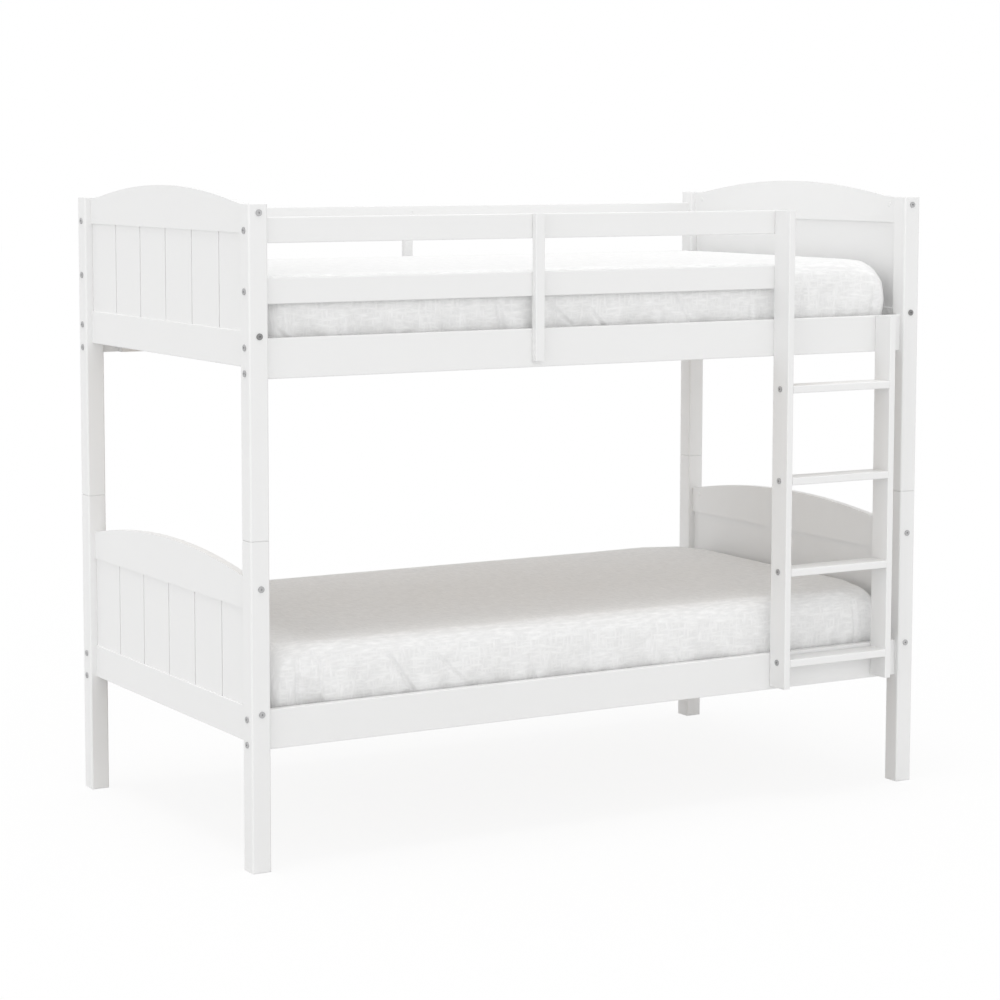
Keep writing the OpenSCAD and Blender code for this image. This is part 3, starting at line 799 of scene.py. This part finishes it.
def soften_form(points, centre, half):
    """Round the top corners like a ball, as stuffing does, and draw the foot in."""
    offset = points - centre
    height = offset[:, 2] / half[2]
    room = half + ROOM_ROUND
    gap = np.maximum(half - np.abs(offset), 0.0)
    corner = 1.0 - ease_between(np.hypot(gap[:, 0], gap[:, 1]), *CORNER_REACH)
    corner *= 0.6 + 0.4 * ease_between(height, *CORNER_RISE)
    radius = (EDGE_ROUND + (CORNER_ROUND - EDGE_ROUND) * corner)[:, None]
    core = room - radius
    core[:, 2] = np.where(offset[:, 2] < 0, 1.0, core[:, 2])
    beyond = np.maximum(np.abs(offset) - core, 0.0)
    length = np.maximum(np.linalg.norm(beyond, axis=1)[:, None], 1e-9)
    shorter = np.minimum(1.0, radius / length)
    kept = np.minimum(np.abs(offset), core) + beyond * shorter
    points[:] = centre + np.sign(offset) * kept
    foot = 1.0 - ease_between(height, *FOOT_RISE)
    for axis in (0, 1):
        reach = ramp(np.abs(offset[:, axis]) / half[axis], 0.5, 1.0)
        drawn = FOOT_DRAW * foot * (1.0 + 0.5 * corner) * reach
        points[:, axis] -= np.sign(offset[:, axis]) * drawn


print("Corner radius:", 1000 * CORNER_ROUND, "mm, edge radius:", 1000 * EDGE_ROUND, "mm")

# %% Refine the sides
FINER_TIMES = 2
LEVEL_FACE = 0.75


def refine_sides(mesh):
    """Cut the squares of the sides into quarters; the level faces stay as they are."""
    for _ in range(FINER_TIMES):
        form = bmesh.new()
        form.from_mesh(mesh)
        form.normal_update()
        upright = [face for face in form.faces if abs(face.normal.z) < LEVEL_FACE]
        edges = {edge for face in upright for edge in face.edges}
        bmesh.ops.subdivide_edges(form, edges=list(edges), cuts=1, smooth=1.0, use_grid_fill=True)
        form.to_mesh(mesh)
        form.free()
    mesh.update()


print("Squares on the sides:", round(1000 * SQUARE / 2**FINER_TIMES, 1), "mm")

# %% [markdown]
# Now each mattress is made from the gathered skin. The folds and a broad unevenness are
# added along each point's normal, the top is lifted to its crown, and the form is
# rounded last. The two share a skin but not their folds. Each replaces the plain CAD
# solid and rides on its body.

# %% How far the cloth stands out
SIDE_UNEVEN = 0.0012
SIDE_SCALE = 16.0
TOP_UNEVEN = 0.0026
TOP_SCALE = 3.2
TOP_RIPPLE = 0.0008
RIPPLE_SCALE = 13.0
SIDE_FADE = 1.15


def draw_folds(chance, half_x, half_y, height, front_folds):
    """Folds for the ends and the back, and for the front too unless it has its own."""
    lap = 4 * (half_x + half_y)
    folds = random_folds(chance, half_x, lap - half_x, height)
    return folds + (front_folds or random_folds(chance, -half_x, half_x, height))


def cloth_push(x, y, up, normals, half_x, half_y, folds, shift):
    """How far each point goes out along its normal: folds and a broad unevenness."""
    side = np.clip(1.0 - np.abs(normals[:, 2]) * SIDE_FADE, 0.0, 1.0)
    top = np.clip(normals[:, 2], 0.0, 1.0)
    along = around(x, y, half_x, half_y)
    push = side * fold_depth(along, up, folds, 4 * (half_x + half_y))
    push += side * SIDE_UNEVEN * wander(along, up, 0 * up, SIDE_SCALE, shift)
    push += top * TOP_UNEVEN * wander(x, y, up, TOP_SCALE, shift)
    push += top * TOP_RIPPLE * wander(x, y, up, RIPPLE_SCALE, shift)
    return push


print("Uneven by", 1000 * SIDE_UNEVEN, "mm on the sides,", 1000 * TOP_UNEVEN, "mm on top")

# %% Make both mattresses
TOP_LIFT = 0.007
LIFT_BETWEEN = (0.3, 1.0)
PROUD_OF_SIDES = 0.0045
PROUD_OF_TOP = 0.012
OFF_THE_SLATS = 0.0002


def mattress_points(mesh, low, high, seed, front_folds):
    """The points of a refined skin, once it is folded, crowned and rounded in its box."""
    points = points_of(mesh)
    normals = points_of(mesh, "normal")
    skin_low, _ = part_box("mattress_lower")
    points[:, 2] += low.z - skin_low.z
    centre = (low + high) / 2
    half_x, half_y = (high.x - low.x) / 2, (high.y - low.y) / 2
    height = high.z - low.z
    chance = random.Random(seed)
    folds = draw_folds(chance, half_x, half_y, height, front_folds)
    shift = Vector((chance.uniform(0, 50), chance.uniform(0, 50), 0.0))
    x, y, up = points[:, 0] - centre.x, points[:, 1] - centre.y, points[:, 2] - low.z
    points += normals * cloth_push(x, y, up, normals, half_x, half_y, folds, shift)[:, None]
    points[:, 2] += TOP_LIFT * ramp(up / height, *LIFT_BETWEEN)
    soften_form(points, np.array(centre), np.array(high - low) / 2)
    points[:, 0] = np.clip(points[:, 0], low.x - PROUD_OF_SIDES, high.x + PROUD_OF_SIDES)
    points[:, 1] = np.clip(points[:, 1], low.y - PROUD_OF_SIDES, high.y + PROUD_OF_SIDES)
    points[:, 2] = np.clip(points[:, 2], low.z + OFF_THE_SLATS, high.z + PROUD_OF_TOP)
    return points


def make_mattress(name, cad_name, body, seed, front_folds=None):
    low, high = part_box(cad_name)
    piece = bpy.data.objects.new(name, skin.data.copy())
    bpy.context.scene.collection.objects.link(piece)
    mesh = piece.data
    refine_sides(mesh)
    points = mattress_points(mesh, low, high, seed, front_folds)
    set_points(mesh, points)
    for polygon in mesh.polygons:
        polygon.use_smooth = True
    mesh.materials.append(cover)
    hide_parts(cad_name)
    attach(piece, body)
    size = points.max(axis=0) - points.min(axis=0)
    print(name, "size", [round(float(v), 3) for v in size], "faces", len(mesh.polygons))


make_mattress(
    "mattress_lower_cover", "mattress_lower", "lower_mattress", seed=11, front_folds=FRONT_FOLDS
)
make_mattress("mattress_upper_cover", "mattress_upper", "upper_mattress", seed=29)
bpy.data.objects.remove(skin)

# %% [markdown]
# ## Floor and surroundings
# The bed stands on a plain pale floor in an evenly lit white room. What the camera sees
# of the floor is mostly plain white with a share of real shading, so the bed's shadow
# stays soft. Reflections and clear materials see the same white as the camera does, and
# the bed itself is lit by the floor's real, slightly greyer colour.

# %% Pale floor
FLOOR_COLOUR = (0.70, 0.70, 0.70)
FLOOR_GLOW = 0.86
FLOOR_WHITE = 1.03
FLOOR_REACH = 40.0


def seen_directly(start):
    """1 for rays from the camera and for those that a gloss or a clear surface sends on."""
    rays = [
        start.node("ShaderNodeLightPath", out=name)
        for name in ("Is Camera Ray", "Is Glossy Ray", "Is Transmission Ray")
    ]
    return start.maths("MINIMUM", rays[0] + rays[1] + rays[2], 1.0)


def pale_floor():
    material = bpy.data.materials.new("pale_floor")
    material.use_nodes = True
    tree = material.node_tree
    tree.nodes.clear()
    start = Shade(tree)
    matt = start.node("ShaderNodeBsdfDiffuse", {}, {"Color": (*FLOOR_COLOUR, 1.0)})
    glow = start.node("ShaderNodeEmission", {}, {"Color": (1, 1, 1, 1), "Strength": FLOOR_WHITE})
    share = seen_directly(start) * FLOOR_GLOW
    mixed = start.node("ShaderNodeMixShader", {}, {0: share, 1: matt, 2: glow})
    output = tree.nodes.new("ShaderNodeOutputMaterial")
    tree.links.new(mixed.socket, output.inputs["Surface"])
    mesh = bpy.data.meshes.new("floor")
    turns = ((-1, -1), (1, -1), (1, 1), (-1, 1))
    corners = [(FLOOR_REACH * x, FLOOR_REACH * y, 0.0) for x, y in turns]
    mesh.from_pydata(corners, [], [(0, 1, 2, 3)])
    mesh.materials.append(material)
    floor = bpy.data.objects.new("floor", mesh)
    bpy.context.scene.collection.objects.link(floor)
    floor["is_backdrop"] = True
    return floor


pale_floor()
print("Floor laid at z = 0")

# %% White surroundings
WORLD_LIGHT = 0.78


def white_world():
    world = bpy.data.worlds.new("white_room")
    bpy.context.scene.world = world
    world.use_nodes = True
    tree = world.node_tree
    tree.nodes.clear()
    start = Shade(tree)
    light = WORLD_LIGHT + (1.0 - WORLD_LIGHT) * seen_directly(start)
    glow = start.node("ShaderNodeBackground", {}, {"Color": (1, 1, 1, 1), "Strength": light})
    output = tree.nodes.new("ShaderNodeOutputWorld")
    tree.links.new(glow.socket, output.inputs["Surface"])


white_world()
print("World light:", WORLD_LIGHT)

# %% [markdown]
# ## Lamps
# Three wide, soft suns model the form. One comes from almost straight above, lifts the
# tops of the boards and leaves the lower berth in shade. A level one fills the long
# front, and a weaker one fills the ends from the left.

# %% Three soft suns


def soft_sun(name, towards, strength, spread):
    data = bpy.data.lights.new(name, "SUN")
    data.energy = strength
    data.angle = math.radians(spread)
    lamp = bpy.data.objects.new(name, data)
    lamp.rotation_mode = "QUATERNION"
    lamp.rotation_quaternion = Vector(towards).to_track_quat("-Z", "Y")
    bpy.context.scene.collection.objects.link(lamp)
    return lamp


soft_sun("overhead", (0.12, 0.05, -1.0), 1.0, 25.0)
soft_sun("front_fill", (0.2, 1.0, -0.1), 0.78, 60.0)
soft_sun("left_fill", (1.0, 0.25, -0.1), 0.565, 60.0)

# %% [markdown]
# ## Camera
# The bed is seen from the front left, from just above its highest edge, with a long lens.
# A small lens shift frames it and keeps the upright posts nearly parallel.

# %% Camera
EYE = (-3.812, -6.365, 1.748)
TURN = 29.67
DOWN = 5.64
LENS = 98.07
SHIFT = (0.054, -0.08)


def camera():
    data = bpy.data.cameras.new("camera")
    data.sensor_width = 36.0
    data.lens = LENS
    data.shift_x, data.shift_y = SHIFT
    data.clip_end = 100.0
    eye = bpy.data.objects.new("camera", data)
    eye.location = EYE
    eye.rotation_euler = (math.radians(90 - DOWN), 0.0, math.radians(-TURN))
    bpy.context.scene.collection.objects.link(eye)
    bpy.context.scene.camera = eye


camera()
bpy.context.scene.view_settings.view_transform = "Standard"
print("Camera at", EYE)

# %% [markdown]
# ## Sizes, and the end
# The dressed bed should stay in the CAD model's box, apart from a little fabric. How far
# it grows past that box, below and above, is printed in millimetres.

# %% Print how far the dressed bed grows past the CAD box
low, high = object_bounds()
below = [round(1000 * v, 1) for v in cad_low - low]
above = [round(1000 * v, 1) for v in high - cad_high]
print("Grown by", below, "and", above, "mm")
